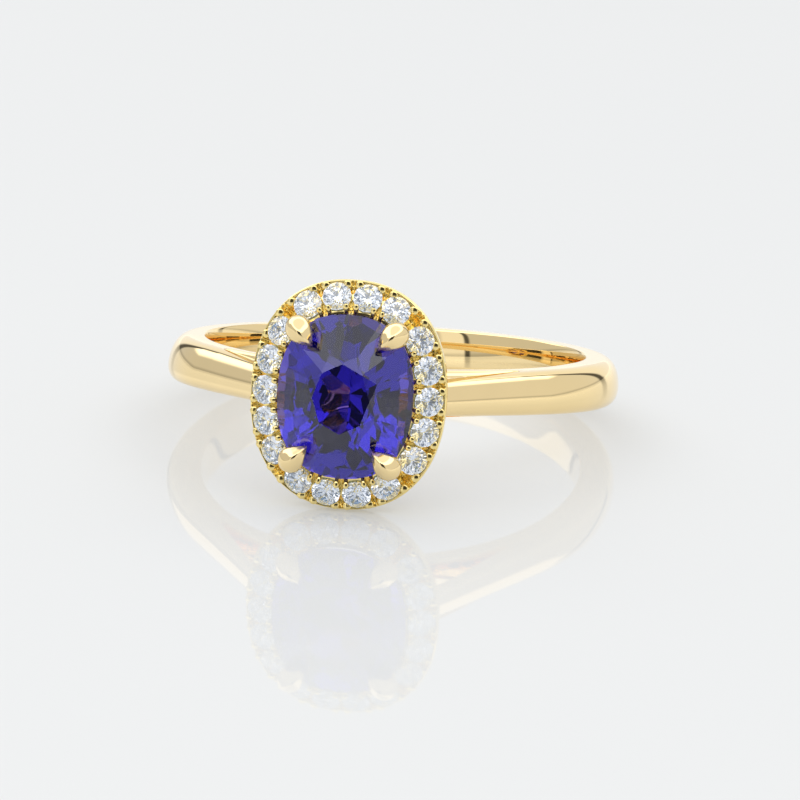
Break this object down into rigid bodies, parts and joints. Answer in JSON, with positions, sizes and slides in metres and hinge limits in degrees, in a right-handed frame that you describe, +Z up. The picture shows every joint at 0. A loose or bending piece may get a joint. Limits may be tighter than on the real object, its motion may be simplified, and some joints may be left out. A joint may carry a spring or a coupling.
{
  "type": "engagement ring",
  "caption": "Halo engagement ring: cushion-oval sapphire in talon claws, bead-set diamond halo, tapering gold band with open cathedral shoulders.",
  "frame": {"origin": "centre of the finger hole", "axes": "+Z up from the table the ring lies on, the stones face -Y, +X to the right as the stones are looked at; the finger hole's axis leans back from +Z"},
  "size_m": [0.0198, 0.0242, 0.0095],
  "materials": {
    "yellow_gold_band": "mirror polished 18 ct yellow gold",
    "yellow_gold_halo": "polished 18 ct yellow gold, bead set",
    "yellow_gold_gallery": "polished 18 ct yellow gold",
    "yellow_gold_claws": "mirror polished 18 ct yellow gold",
    "sapphire": "faceted, polished, deep violet blue",
    "diamond": "faceted, polished, colourless"
  },
  "bodies": {
    "root": {"shank": "yellow_gold_band", "halo_frame": "yellow_gold_halo", "gallery_ring": "yellow_gold_gallery", "centre_sapphire": "sapphire", "claw_upper_left": "yellow_gold_claws", "claw_upper_right": "yellow_gold_claws", "claw_lower_left": "yellow_gold_claws", "claw_lower_right": "yellow_gold_claws", "diamond_01": "diamond", "diamond_02": "diamond", "diamond_03": "diamond", "diamond_04": "diamond", "diamond_05": "diamond", "diamond_06": "diamond", "diamond_07": "diamond", "diamond_08": "diamond", "diamond_09": "diamond", "diamond_10": "diamond", "diamond_11": "diamond", "diamond_12": "diamond", "diamond_13": "diamond", "diamond_14": "diamond", "diamond_15": "diamond", "diamond_16": "diamond", "diamond_17": "diamond", "diamond_18": "diamond"}
  },
  "joints": []
}
